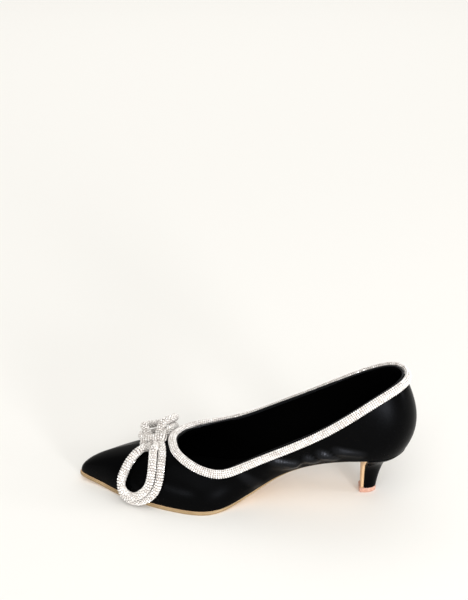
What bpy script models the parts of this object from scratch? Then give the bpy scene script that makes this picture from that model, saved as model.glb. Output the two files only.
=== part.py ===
"""Kitten heel pump for the left foot: pointed toe, satin upper, crystal tube topline and crystal tube bow.

X runs from the heel to the toe, Y to the outer side of the foot and Z up from the floor.
The origin lies on the floor under the middle of the shoe.
Sizes are in millimetres, and MM turns them into metres.
"""

import math

import bpy
import numpy as np
from mathutils import Vector
from mathutils.bvhtree import BVHTree

MM = 0.001
GAP = 0.3

# Driving sizes of the last and the shoe
LENGTH = 245.0
BALL_WIDTH = 75.0
HEEL_HEIGHT = 37.0
COLLAR_HEIGHT = 98.5
MIDDLE_ALONG = 50.0
TO_MIDDLE = (1.125, 3.523, 0.0)

# Walls, soles and tubes
WALL = 1.6
OUTSOLE_THICKNESS = 2.6
INSOLE_THICKNESS = 2.0
SOLE_EDGE = 0.9
WAIST_SET_IN = 2.2
TUBE_DIAMETER = 6.2
PIPING_DROP = 3.1
PIPING_WIDTH = 6.2
PIPING_THICKNESS = 3.8

# Heel
BREAST_ALONG = 13.6
TOP_PIECE_THICKNESS = 3.8
TOP_PIECE_EDGE = 0.5

# Bow
KNOT_ALONG = 76.5
KNOT_AROUND = -1.5
KNOT_HALF_SPAN = 8.6
KNOT_RISE = 3.6
KNOT_THICKNESS = 2.8
KNOT_WIDTH = 7.4
PINCHED_GIRTH = 0.5
PINCH_HOLD = 1.2
PINCH_RUN = 11.0

# How finely the curved pieces are divided
SECTIONS_PER_ROW = 3
WALL_STEPS = 10
SOLE_STEP = 4.5
LOOP_POINTS = 40
PIPING_POINTS = 84
PIPING_SIDES = 12
KNOT_POINTS = 15

# Underside of the sole from the back of the seat to the toe.
# along: share of LENGTH from the back; lift: share of HEEL_HEIGHT above the floor. Both in hundredths.
SHANK_COLUMNS = ("along", "lift")
SHANK = (
    (0.0, 100.0),
    (18.4, 96.0),
    (23.7, 91.0),
    (29.8, 81.0),
    (35.9, 66.0),
    (40.0, 52.0),
    (44.1, 35.0),
    (48.2, 18.9),
    (52.2, 7.6),
    (56.3, 1.9),
    (60.4, 0.0),
    (77.6, 0.0),
    (89.8, 2.7),
    (100.0, 10.0),
)

# Sections of the last, from the toe tip by the outer side to the back and home by the inner side.
# foot: where the wall leaves the sole; top: where it ends at the topline.
# along is in hundredths of LENGTH, out of BALL_WIDTH, up of COLLAR_HEIGHT.
# lean: degrees from upright, outwards at the foot and inwards at the top.
# pull: length in mm over which the lean holds.
SECTION_COLUMNS = (
    "foot_along", "foot_out", "top_along", "top_out", "top_up",
    "foot_lean", "foot_pull", "top_lean", "top_pull",
)
SECTIONS = (
    (99.6, -10.4, 69.6, -1.9, 38.3, 5, 13, 78, 42),
    (98.2, -4.4, 69.4, 3.0, 38.3, 6, 14, 77, 41),
    (93.6, 4.4, 69.1, 7.1, 38.1, 8, 15.6, 74.6, 38.3),
    (87.7, 17.8, 68.6, 12.6, 37.6, 8, 16.2, 71.7, 30.4),
    (77.7, 35.8, 67.1, 20.2, 36.4, 8, 15.8, 65.8, 19.4),
    (69.4, 46.0, 64.4, 27.5, 34.5, 8, 14.5, 55, 13),
    (61.2, 50.6, 60.2, 33.9, 32.3, 8, 13, 40, 11),
    (55.5, 46.3, 55.5, 36.5, 32.5, 10, 11, 22, 10),
    (49.8, 36.8, 49.8, 37.2, 38.9, 20, 10, 8, 10),
    (42.4, 29.8, 42.4, 37.8, 48.6, 30, 10, 4, 9),
    (32.7, 28.4, 32.7, 37.4, 60.2, 32, 10, 4, 10),
    (22.4, 31.2, 22.4, 35.7, 74.7, 26, 13, 8, 12),
    (12.6, 32.4, 12.6, 28.8, 89.9, 22, 16, 15, 17),
    (5.2, 23.6, 5.8, 16.6, 97.9, 26, 20, 25, 22),
    (1.5, 0.0, 3.6, 0.0, 99.8, 30, 22, 26, 25),
    (5.2, -23.6, 5.9, -16.8, 98.6, 26, 20, 25, 22),
    (12.6, -32.4, 12.6, -28.4, 90.3, 22, 16, 15, 17),
    (22.4, -29.3, 22.4, -35.0, 77.0, 26, 13, 8, 12),
    (32.7, -24.7, 32.7, -37.3, 64.3, 34, 12, 4, 11),
    (42.4, -25.3, 42.4, -37.7, 53.4, 34, 12, 5, 11),
    (49.8, -32.0, 49.8, -37.3, 45.8, 26, 12, 10, 12),
    (56.3, -40.7, 55.8, -36.0, 41.9, 12, 14, 24, 13),
    (65.3, -47.3, 61.0, -32.4, 39.8, 8, 16, 42, 14),
    (73.5, -45.3, 65.1, -26.9, 38.8, 8, 16.6, 56.1, 14.6),
    (81.6, -38.7, 67.4, -20.5, 38.3, 8, 15.6, 66.6, 20.8),
    (89.8, -29.3, 68.7, -13.4, 38.4, 8, 14.8, 72.8, 30.9),
    (95.5, -21.3, 69.3, -9.0, 38.4, 7, 14.6, 75.6, 38.3),
    (98.5, -15.8, 69.5, -5.5, 38.3, 6, 14, 77, 41),
)

# Heel below the seat, as shares of the seat's own outline in hundredths.
# drop: share of the way from the seat to the top piece; depth: breast to back; width: side to side.
HEEL_COLUMNS = ("drop", "depth", "width")
HEEL = (
    (0.0, 100.0, 100.0),
    (8.0, 91.0, 90.0),
    (17.0, 76.0, 72.0),
    (27.0, 61.0, 55.0),
    (38.0, 50.0, 42.0),
    (54.0, 42.0, 32.0),
    (76.0, 35.0, 26.0),
    (100.0, 30.0, 22.0),
)

# Tubes of the bow, each from the knot round its loop and back to the knot, over the upper's outer face.
# along: hundredths of LENGTH; around: degrees from straight up, positive to the outer side.
# lift: mm off the face.
LOOP_COLUMNS = ("along", "around", "lift")
LOOPS = {
    "bow_outer_loop_lateral": (
        (78.6, 0, 3.4),
        (79.6, 16, 3.4),
        (81.7, 31, 3.4),
        (83.7, 53, 3.4),
        (84.9, 75, 3.4),
        (83.9, 91, 4.4),
        (82.0, 95, 4.8),
        (79.5, 93, 4.8),
        (76.9, 86, 4.6),
        (74.8, 77, 3.8),
        (73.6, 65, 3.4),
        (73.2, 50, 3.4),
        (73.1, 31, 3.4),
        (73.6, 16, 3.4),
        (74.4, 0, 3.4),
    ),
    "bow_inner_loop_lateral": (
        (77.2, 0, 6.0),
        (77.9, 16, 9.2),
        (79.9, 32, 9.9),
        (82.0, 50, 10.0),
        (83.2, 65, 10.0),
        (82.7, 76, 10.0),
        (80.5, 81, 10.0),
        (77.7, 77, 9.8),
        (75.6, 68, 9.2),
        (74.9, 53, 8.6),
        (75.0, 33, 8.4),
        (75.4, 15, 8.6),
        (75.8, 0, 6.0),
    ),
    "bow_outer_loop_medial": (
        (78.6, -3, 3.4),
        (79.6, -14, 3.4),
        (80.6, -28, 3.4),
        (80.8, -43, 3.6),
        (79.7, -57, 5.4),
        (77.2, -67, 9.2),
        (74.7, -70, 10.9),
        (72.2, -67, 9.1),
        (71.0, -57, 6.5),
        (71.3, -44, 4.3),
        (72.2, -28, 3.4),
        (73.7, -14, 3.4),
        (74.4, -3, 3.4),
    ),
    "bow_inner_loop_medial": (
        (77.2, -3, 6.0),
        (77.8, -15, 9.5),
        (79.1, -28, 9.6),
        (79.9, -40, 10.0),
        (79.4, -51, 11.6),
        (77.5, -60, 13.6),
        (74.5, -63, 14.3),
        (71.9, -61, 14.1),
        (70.5, -54, 12.8),
        (70.6, -46, 11.2),
        (72.3, -36, 10.3),
        (74.1, -27, 10.0),
        (75.6, -15, 10.0),
        (75.8, -3, 6.0),
    ),
}

COLOURS = {
    "satin": (0.008, 0.008, 0.011),
    "lining": (0.006, 0.006, 0.007),
    "tan": (0.60, 0.40, 0.22),
    "tip": (0.78, 0.52, 0.40),
    "crystal": (0.80, 0.79, 0.79),
}
ROUGHNESS = {"satin": 0.38, "lining": 0.7, "tan": 0.5, "tip": 0.35, "crystal": 0.18}
METALLIC = {"crystal": 0.6}


def column(table, names, name):
    """One named column of a table."""
    place = names.index(name)
    return np.array([row[place] for row in table], float)


def monotone(xs, ys, x):
    """Smooth curve through the points that never swings past them, so level stretches stay level."""
    steps = np.diff(xs)
    slopes = np.diff(ys) / steps
    tangents = np.zeros(len(xs))
    same_way = slopes[:-1] * slopes[1:] > 0
    weight_a = 2 * steps[1:] + steps[:-1]
    weight_b = steps[1:] + 2 * steps[:-1]
    mean = (weight_a + weight_b) / (weight_a / np.where(same_way, slopes[:-1], 1)
                                    + weight_b / np.where(same_way, slopes[1:], 1))
    tangents[1:-1] = np.where(same_way, mean, 0.0)
    tangents[0], tangents[-1] = slopes[0], slopes[-1]
    x = np.clip(x, xs[0], xs[-1])
    k = np.clip(np.searchsorted(xs, x, side="right") - 1, 0, len(xs) - 2)
    t = (x - xs[k]) / steps[k]
    rise = ys[k] * (1 + 2 * t) * (1 - t) ** 2 + ys[k + 1] * t * t * (3 - 2 * t)
    return rise + steps[k] * (tangents[k] * t * (1 - t) ** 2 + tangents[k + 1] * t * t * (t - 1))


def ring_spline(knots, values, at, period):
    """Closed cubic curve with steady bending through values at the knots."""
    count = len(knots)
    step = np.diff(np.append(knots, knots[0] + period))
    before = np.roll(step, 1)
    system = np.zeros((count, count))
    for i in range(count):
        system[i, i] = 2 * (before[i] + step[i])
        system[i, (i + 1) % count] += step[i]
        system[i, i - 1] += before[i]
    slope = (np.roll(values, -1, 0) - values) / step[:, None]
    bend = np.linalg.solve(system, 6 * (slope - np.roll(slope, 1, 0)))
    at = np.mod(at - knots[0], period) + knots[0]
    k = np.searchsorted(knots, at, side="right") - 1
    t = (at - knots[k])[:, None]
    h = step[k][:, None]
    after = (k + 1) % count
    first = slope[k] - h * (2 * bend[k] + bend[after]) / 6
    return values[k] + t * first + t * t * bend[k] / 2 + t ** 3 * (bend[after] - bend[k]) / (6 * h)


def open_spline(knots, values, at):
    """Open cubic curve with steady bending through values at the knots, straight at its ends."""
    step = np.diff(knots)
    slope = np.diff(values, axis=0) / step[:, None]
    system = np.eye(len(knots))
    turn = np.zeros(values.shape)
    for i in range(1, len(knots) - 1):
        system[i, i - 1:i + 2] = step[i - 1], 2 * (step[i - 1] + step[i]), step[i]
        turn[i] = 6 * (slope[i] - slope[i - 1])
    bend = np.linalg.solve(system, turn)
    k = np.clip(np.searchsorted(knots, at, side="right") - 1, 0, len(step) - 1)
    t = (at - knots[k])[:, None]
    h = step[k][:, None]
    first = slope[k] - h * (2 * bend[k] + bend[k + 1]) / 6
    return values[k] + t * first + t * t * bend[k] / 2 + t ** 3 * (bend[k + 1] - bend[k]) / (6 * h)


def run_of(points):
    """Distance along a line of points, from its first."""
    return np.concatenate([[0.0], np.cumsum(np.linalg.norm(np.diff(points, axis=0), axis=1))])


def along_to_x(along):
    return (np.asarray(along, float) - MIDDLE_ALONG) * LENGTH / 100


def feather_height(x):
    """Height of the line where the wall meets the sole."""
    along = np.asarray(x, float) * 100 / LENGTH + MIDDLE_ALONG
    lift = monotone(column(SHANK, SHANK_COLUMNS, "along"), column(SHANK, SHANK_COLUMNS, "lift"), along)
    return OUTSOLE_THICKNESS + lift * HEEL_HEIGHT / 100


def section_columns():
    """The table of sections with its shares worked out to millimetres."""
    scale = {"along": LENGTH / 100, "out": BALL_WIDTH / 100, "up": COLLAR_HEIGHT / 100}
    made = {}
    for name in SECTION_COLUMNS:
        values = column(SECTIONS, SECTION_COLUMNS, name)
        kind = name.split("_")[1]
        made[name] = along_to_x(values) if kind == "along" else values * scale.get(kind, 1.0)
    return made


def section_knots(made):
    """Distance round the shoe at each section, halfway between sole and topline."""
    middle = np.stack([made["foot_along"] + made["top_along"], made["foot_out"] + made["top_out"]], 1) / 2
    gaps = np.linalg.norm(np.roll(middle, -1, 0) - middle, axis=1)
    return np.concatenate([[0.0], np.cumsum(gaps[:-1])]), gaps.sum()


def rounds_per_row(count):
    """Places round the shoe, count of them from each section to the next."""
    knots, period = section_knots(section_columns())
    ends = np.append(knots, period)
    return np.concatenate([np.linspace(a, b, count, endpoint=False) for a, b in zip(ends[:-1], ends[1:])])


def outward(points):
    """Level normals, away from the inside, of a closed plan curve that runs with its inside on the left."""
    ahead = np.roll(points, -1, 0) - np.roll(points, 1, 0)
    turned = np.stack([ahead[:, 1], -ahead[:, 0]], 1)
    return turned / np.linalg.norm(turned, axis=1)[:, None]


def wall_handles(rounds):
    """The four control points of the wall's curve at each place round the shoe."""
    made = section_columns()
    knots, period = section_knots(made)
    table = np.stack([made[name] for name in SECTION_COLUMNS], 1)
    rows = dict(zip(SECTION_COLUMNS, ring_spline(knots, table, rounds, period).T))
    foot_plan = np.stack([rows["foot_along"], rows["foot_out"]], 1)
    top_plan = np.stack([rows["top_along"], rows["top_out"]], 1)
    foot = np.column_stack([foot_plan, feather_height(rows["foot_along"]) + GAP])
    top = np.column_stack([top_plan, rows["top_up"]])
    foot_lean = np.radians(rows["foot_lean"])[:, None]
    top_lean = np.radians(rows["top_lean"])[:, None]
    leaving = np.column_stack([outward(foot_plan) * np.sin(foot_lean), np.cos(foot_lean)])
    arriving = np.column_stack([-outward(top_plan) * np.sin(top_lean), np.cos(top_lean)])
    low = foot + leaving * rows["foot_pull"][:, None]
    high = top - arriving * rows["top_pull"][:, None]
    return foot, low, high, top


def wall_points(rounds, steps):
    """Grid of points of the upper's outer face: places round the shoe by steps up the wall."""
    foot, low, high, top = (p[:, None, :] for p in wall_handles(rounds))
    t = np.linspace(0.0, 1.0, steps + 1)[None, :, None]
    return foot * (1 - t) ** 3 + 3 * low * t * (1 - t) ** 2 + 3 * high * t * t * (1 - t) + top * t ** 3


def feather_loop(margin):
    """Plan of the line where the wall meets the sole, moved outwards by margin, toe tip first."""
    foot = wall_points(rounds_per_row(24), 1)[:, 0, :2]
    if np.ndim(margin):
        margin = np.asarray(margin)[:, None]
    return foot + outward(foot) * margin


def sides_at(loop, x):
    """The outer and inner side of a plan loop at each x."""
    toe, back = np.argmax(loop[:, 0]), np.argmin(loop[:, 0])
    outer = np.roll(loop, -toe, 0)[: (back - toe) % len(loop) + 1][::-1]
    inner = np.roll(loop, -back, 0)[: (toe - back) % len(loop) + 1]
    return np.interp(x, outer[:, 0], outer[:, 1]), np.interp(x, inner[:, 0], inner[:, 1])


def stations(start, end):
    """Places along the sole from start to end: even steps, crowding where an outline turns."""
    even = np.arange(-LENGTH, LENGTH, SOLE_STEP)
    near = np.array([0.03, 0.3, 0.9, 2.0, 3.6])
    between = even[(even > start + 5.0) & (even < end - 5.0)]
    return np.concatenate([start + near, between, end - near[::-1]])


def material(name):
    made = bpy.data.materials.get(name)
    if made:
        return made
    made = bpy.data.materials.new(name)
    made.use_nodes = True
    shader = made.node_tree.nodes["Principled BSDF"]
    shader.inputs["Base Color"].default_value = (*COLOURS[name], 1.0)
    shader.inputs["Roughness"].default_value = ROUGHNESS[name]
    shader.inputs["Metallic"].default_value = METALLIC.get(name, 0.0)
    return made


def link(name, data, finish, shoe):
    """A named object of the shoe, moved so that the origin lies under the middle of the whole shoe."""
    obj = bpy.data.objects.new(name, data)
    obj.location = Vector(TO_MIDDLE) * MM
    obj.data.materials.append(material(finish))
    shoe.objects.link(obj)
    return obj


def lofted(name, rows, finish, shoe, closed=False, capped=False, ringed=False):
    """Mesh skin over rows of equally many points.

    closed joins each row's ends, capped closes the first and last row,
    and ringed joins the last row to the first.
    """
    count = len(rows[0])
    points = [Vector(p) * MM for row in rows for p in row]
    faces = []
    for i in range(len(rows) if ringed else len(rows) - 1):
        after = (i + 1) % len(rows)
        for j in range(count if closed else count - 1):
            k = (j + 1) % count
            faces.append((i * count + j, i * count + k, after * count + k, after * count + j))
    if capped:
        faces.append(tuple(range(count))[::-1])
        faces.append(tuple(range((len(rows) - 1) * count, len(rows) * count)))
    mesh = bpy.data.meshes.new(name)
    mesh.from_pydata(points, [], faces)
    mesh.shade_smooth()
    return link(name, mesh, finish, shoe)


def thicken(obj, thickness):
    """Gives an open skin its thickness, on the side away from its normals."""
    solid = obj.modifiers.new("Thickness", "SOLIDIFY")
    solid.thickness = thickness * MM
    solid.offset = -1.0
    solid.use_even_offset = True


def tube(name, points, finish, shoe, girths):
    """Round tube along a list of points, with its own girth at each as a share of TUBE_DIAMETER."""
    curve = bpy.data.curves.new(name, "CURVE")
    curve.dimensions = "3D"
    curve.bevel_depth = TUBE_DIAMETER / 2 * MM
    curve.bevel_resolution = 2
    curve.use_fill_caps = True
    spline = curve.splines.new("POLY")
    spline.points.add(len(points) - 1)
    for i, point in enumerate(points):
        spline.points[i].co = (*(Vector(point) * MM), 1.0)
        spline.points[i].radius = girths[i]
    return link(name, curve, finish, shoe)


def make_upper(shoe):
    """Satin wall lasted over the whole foot: closed over the vamp, open at the collar and underneath."""
    grid = wall_points(rounds_per_row(SECTIONS_PER_ROW), WALL_STEPS)
    upper = lofted("upper", list(np.swapaxes(grid, 0, 1)), "satin", shoe, closed=True)
    thicken(upper, WALL)
    return upper


def make_outsole(shoe):
    """Tan sole from the toe to the breast, then down the breast to the top piece."""
    along = feather_loop(0.0)[:, 0]
    waist, ball = along_to_x(46.0), along_to_x(61.0)
    share = np.clip((along - waist) / (ball - waist), 0.0, 1.0)
    share = share * share * (3 - 2 * share)
    loop = feather_loop(SOLE_EDGE * share - WAIST_SET_IN * (1 - share))
    breast = float(along_to_x(BREAST_ALONG))
    x = stations(breast - 0.03, loop[:, 0].max())[::-1]
    outer, inner = sides_at(loop, x)
    z = feather_height(x)
    rows = [((x[i], inner[i], z[i]), (x[i], outer[i], z[i])) for i in range(len(x))]
    for share in np.linspace(0.08, 1.0, 9):
        height = z[-1] + share * (TOP_PIECE_THICKNESS + GAP - z[-1])
        width = heel_share(share * 100, "width") / 100
        rows.append(((breast, inner[-1] * width, height), (breast, outer[-1] * width, height)))
    sole = lofted("outsole", rows, "tan", shoe)
    thicken(sole, OUTSOLE_THICKNESS)
    return sole


def heel_share(drop, name):
    return monotone(column(HEEL, HEEL_COLUMNS, "drop"), column(HEEL, HEEL_COLUMNS, name), drop)


def seat_outline(count):
    """The seat's edge behind the breast, from the inner breast corner round the back to the outer one."""
    loop = feather_loop(0.0)
    breast = along_to_x(BREAST_ALONG) - GAP
    toe = np.argmax(loop[:, 0])
    behind = np.roll(loop, -toe, 0)
    behind = behind[behind[:, 0] < breast][::-1]
    outer, inner = sides_at(loop, breast)
    path = np.vstack([[breast, inner], behind, [breast, outer]])
    run = run_of(path)
    at = np.linspace(0.0, run[-1], count)
    return np.stack([np.interp(at, run, path[:, c]) for c in range(2)], 1)


def heel_ring(drop, outline):
    """One level section of the heel, drop hundredths of the way from the seat to the top piece."""
    breast = outline[0, 0]
    bottom = TOP_PIECE_THICKNESS + GAP
    x = breast + (outline[:, 0] - breast) * heel_share(drop, "depth") / 100
    y = outline[:, 1] * heel_share(drop, "width") / 100
    seat = feather_height(outline[:, 0]) - GAP
    return np.column_stack([x, y, seat + (bottom - seat) * drop / 100])


def make_heel(shoe):
    """Covered kitten heel: a seat as wide as the upper, a flat breast and a back hollowed to a stem."""
    outline = seat_outline(25)
    drops = (0.0, 4.0, 9.0, 15.0, 22.0, 30.0, 40.0, 52.0, 66.0, 82.0, 100.0)
    rows = [heel_ring(drop, outline) for drop in drops]
    return lofted("heel", rows, "satin", shoe, closed=True, capped=True)


def make_top_piece(shoe):
    """Plastic tip under the stem and the end of the sole's flap, a little larger than both."""
    stem = heel_ring(100.0, seat_outline(25))[:, :2]
    front = along_to_x(BREAST_ALONG) + OUTSOLE_THICKNESS + TOP_PIECE_EDGE
    edge = np.vstack([[front, stem[0, 1]], stem, [front, stem[-1, 1]]])
    edge[:, 1] += np.sign(edge[:, 1]) * TOP_PIECE_EDGE
    round_back = (np.abs(edge[:, 1]) < 0.9 * edge[:, 1].max()) & (edge[:, 0] < front)
    edge[:, 0] -= np.where(round_back, TOP_PIECE_EDGE, 0.0)
    rows = [[(x, y, z) for x, y in edge] for z in (TOP_PIECE_THICKNESS, 0.0)]
    return lofted("top_piece", rows, "tip", shoe, closed=True, capped=True)


def make_insole(shoe):
    """Black sock on its board, lying on the outsole and the heel seat inside the wall."""
    loop = feather_loop(-(WALL + 1.2))
    x = stations(loop[:, 0].min(), loop[:, 0].max())[::-1]
    outer, inner = sides_at(loop, x)
    slope = feather_height(x + 0.5) - feather_height(x - 0.5)
    z = feather_height(x) + (GAP + INSOLE_THICKNESS) * np.sqrt(1 + slope ** 2)
    rows = [((x[i], outer[i], z[i]), (x[i], inner[i], z[i])) for i in range(len(x))]
    sock = lofted("insole", rows[::-1], "lining", shoe)
    thicken(sock, INSOLE_THICKNESS)
    return sock


def make_piping(shoe):
    """Crystal tube sewn flat to the outside of the wall along the topline."""
    grid = wall_points(rounds_per_row(6), 40)[:, ::-1]
    on_wall, below = [], []
    for wall in grid:
        run = run_of(wall)
        on_wall.append([np.interp(PIPING_DROP, run, wall[:, c]) for c in range(3)])
        below.append([np.interp(PIPING_DROP + 2.0, run, wall[:, c]) for c in range(3)])
    on_wall, below = np.array(on_wall), np.array(below)
    out = np.cross(np.roll(on_wall, -1, 0) - np.roll(on_wall, 1, 0), on_wall - below)
    out /= np.linalg.norm(out, axis=1)[:, None]
    ring = np.hstack([on_wall + out * (PIPING_THICKNESS / 2 + GAP), out])
    ring = np.vstack([ring, ring[:1]])
    run = run_of(ring[:, :3])
    at = np.linspace(0.0, run[-1], PIPING_POINTS, endpoint=False)
    even = np.stack([np.interp(at, run, ring[:, c]) for c in range(6)], 1)
    centre, out = even[:, :3], even[:, 3:]
    ahead = np.roll(centre, -1, 0) - np.roll(centre, 1, 0)
    up = np.cross(ahead, out)
    up /= np.linalg.norm(up, axis=1)[:, None]
    out = np.cross(up, ahead)
    out /= np.linalg.norm(out, axis=1)[:, None]
    turn = np.linspace(0.0, 2 * math.pi, PIPING_SIDES, endpoint=False)
    off_wall = np.cos(turn)[:, None] * PIPING_THICKNESS / 2
    along_wall = np.sin(turn)[:, None] * PIPING_WIDTH / 2
    rows = [middle + off_wall * o + along_wall * u for middle, o, u in zip(centre, out, up)]
    return lofted("topline_piping", rows, "crystal", shoe, closed=True, ringed=True)


def outer_face():
    """Search tree over the outer face of the upper."""
    grid = wall_points(rounds_per_row(8), 40)
    count, steps = grid.shape[:2]
    faces = []
    for i in range(count):
        k = (i + 1) % count
        for j in range(steps - 1):
            faces.append((i * steps + j, k * steps + j, k * steps + j + 1, i * steps + j + 1))
    return BVHTree.FromPolygons([Vector(p) for p in grid.reshape(-1, 3)], faces)


def on_face(tree, loop, x, around):
    """Point and normal of the outer face in the direction around, seen from a line inside the shoe."""
    outer, inner = sides_at(loop, x)
    inside = Vector((x, (outer + inner) / 2, feather_height(x) + 4.0))
    way = Vector((0.0, math.sin(math.radians(around)), math.cos(math.radians(around))))
    point, normal = tree.ray_cast(inside, way)[:2]
    return point, normal if normal.dot(way) > 0 else -normal


def loop_line(tree, loop, rows):
    """Centre line of one bow tube and its girth along it: pinched at the knot, full beyond."""
    table = np.array(rows, float)
    table[:, 0] = along_to_x(table[:, 0])
    knots = run_of(table * (1.0, 0.5, 1.0))
    fine = open_spline(knots, table, np.linspace(0.0, knots[-1], 160))
    found = [on_face(tree, loop, x, around) for x, around in fine[:, :2]]
    face = np.array([point for point, normal in found])
    normals = np.array([normal for point, normal in found])
    for _ in range(12):
        normals[1:-1] = (normals[:-2] + 2 * normals[1:-1] + normals[2:]) / 4
    normals /= np.linalg.norm(normals, axis=1)[:, None]
    run = run_of(face)
    away = np.minimum(run, run[-1] - run)
    ease = np.clip((away - KNOT_WIDTH / 2 - PINCH_HOLD) / PINCH_RUN, 0.0, 1.0)
    ease = ease * ease * (3 - 2 * ease)
    girth = PINCHED_GIRTH + (1 - PINCHED_GIRTH) * ease
    lift = TUBE_DIAMETER / 2 * girth + GAP + (fine[:, 2] - TUBE_DIAMETER / 2 - GAP) * ease
    centre = face + normals * lift[:, None]
    run = run_of(centre)
    at = np.linspace(0.0, run[-1], LOOP_POINTS)
    line = np.stack([np.interp(at, run, centre[:, c]) for c in range(3)], 1)
    return line, np.interp(at, run, girth)


def make_bow(shoe):
    """Two crystal tube loops a side, one over the other, gathered under a flat crystal band."""
    tree = outer_face()
    loop = feather_loop(0.0)
    for name, rows in LOOPS.items():
        line, girth = loop_line(tree, loop, rows)
        tube(name, line, "crystal", shoe, girths=girth)
    points = []
    for turn in np.linspace(0.0, math.pi, KNOT_POINTS):
        side = math.copysign(abs(math.cos(turn)) ** 0.6, math.cos(turn))
        face, normal = on_face(tree, loop, along_to_x(KNOT_ALONG) + KNOT_HALF_SPAN * side, KNOT_AROUND)
        points.append(face + normal * (KNOT_THICKNESS / 2 + GAP + KNOT_RISE * math.sin(turn) ** 0.6))
    middle = np.mean([point.y for point in points])
    flat = [(point.x, 0.0, point.z) for point in points]
    band = tube("bow_knot", flat, "crystal", shoe, girths=[KNOT_THICKNESS / TUBE_DIAMETER] * KNOT_POINTS)
    band.location.y += middle * MM
    band.scale.y = KNOT_WIDTH / KNOT_THICKNESS


def main():
    for old in list(bpy.data.objects):
        bpy.data.objects.remove(old)
    shoe = bpy.data.collections.new("kitten_heel_pump")
    bpy.context.scene.collection.children.link(shoe)
    make_outsole(shoe)
    make_heel(shoe)
    make_top_piece(shoe)
    make_upper(shoe)
    make_insole(shoe)
    make_piping(shoe)
    make_bow(shoe)


main()
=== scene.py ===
"""Looks of the kitten heel pump: black satin on a pointed last, a tan leather sole and crystal tubes.

The toe points along +X, the outer side of the left foot faces +Y and the shoe stands on the floor, +Z up.
Sizes are in millimetres until MM turns them into metres.
"""

import math

import bmesh
import bpy
import numpy as np
from mathutils import Euler, Matrix, Vector
from mathutils.bvhtree import BVHTree


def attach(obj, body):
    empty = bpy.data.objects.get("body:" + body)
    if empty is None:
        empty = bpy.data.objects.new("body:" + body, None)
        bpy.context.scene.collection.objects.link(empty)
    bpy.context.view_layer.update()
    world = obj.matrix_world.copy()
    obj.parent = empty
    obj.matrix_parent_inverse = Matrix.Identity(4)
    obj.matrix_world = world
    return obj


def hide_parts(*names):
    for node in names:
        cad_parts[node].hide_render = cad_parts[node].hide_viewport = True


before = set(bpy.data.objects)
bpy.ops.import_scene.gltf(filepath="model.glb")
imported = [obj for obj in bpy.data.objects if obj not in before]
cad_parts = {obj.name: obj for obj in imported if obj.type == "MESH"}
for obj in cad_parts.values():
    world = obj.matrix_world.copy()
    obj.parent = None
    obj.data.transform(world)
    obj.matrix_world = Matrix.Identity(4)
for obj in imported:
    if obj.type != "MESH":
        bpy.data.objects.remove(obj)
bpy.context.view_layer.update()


# Upper
# One skin of black satin stuck to a stiffener, closed down the back and pulled over a pointed last.
# Its edge is folded in at the topline, and its foot is tucked under where the sole closes it.
MM = 0.001
GAP = 0.3
LENGTH = 245.0
BALL_WIDTH = 75.0
HEEL_HEIGHT = 37.0
COLLAR_HEIGHT = 98.5
OUTSOLE_THICKNESS = 2.6
SATIN_THICKNESS = 0.6
FOLD_RADIUS = 0.8
# The folded edge is set to mirror more than the wall: a painted sheen along the topline.
FOLD_SHEEN = 0.8
# The tucked foot of the satin: mm inwards and mm down from the foot of the wall.
TUCK = ((2.2, 0.12), (1.1, 0.16), (0.35, 0.08))
TO_MIDDLE = np.array((1.125, 3.523, 0.0))

# Underside of the sole. along: hundredths of LENGTH from the back; lift: hundredths of HEEL_HEIGHT.
SHANK = (
    (0.0, 100.0),
    (18.4, 96.0),
    (23.7, 91.0),
    (29.8, 81.0),
    (35.9, 66.0),
    (40.0, 52.0),
    (44.1, 35.0),
    (48.2, 18.9),
    (52.2, 7.6),
    (56.3, 1.9),
    (60.4, 0.0),
    (77.6, 0.0),
    (89.8, 2.7),
    (100.0, 10.0),
)

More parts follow.
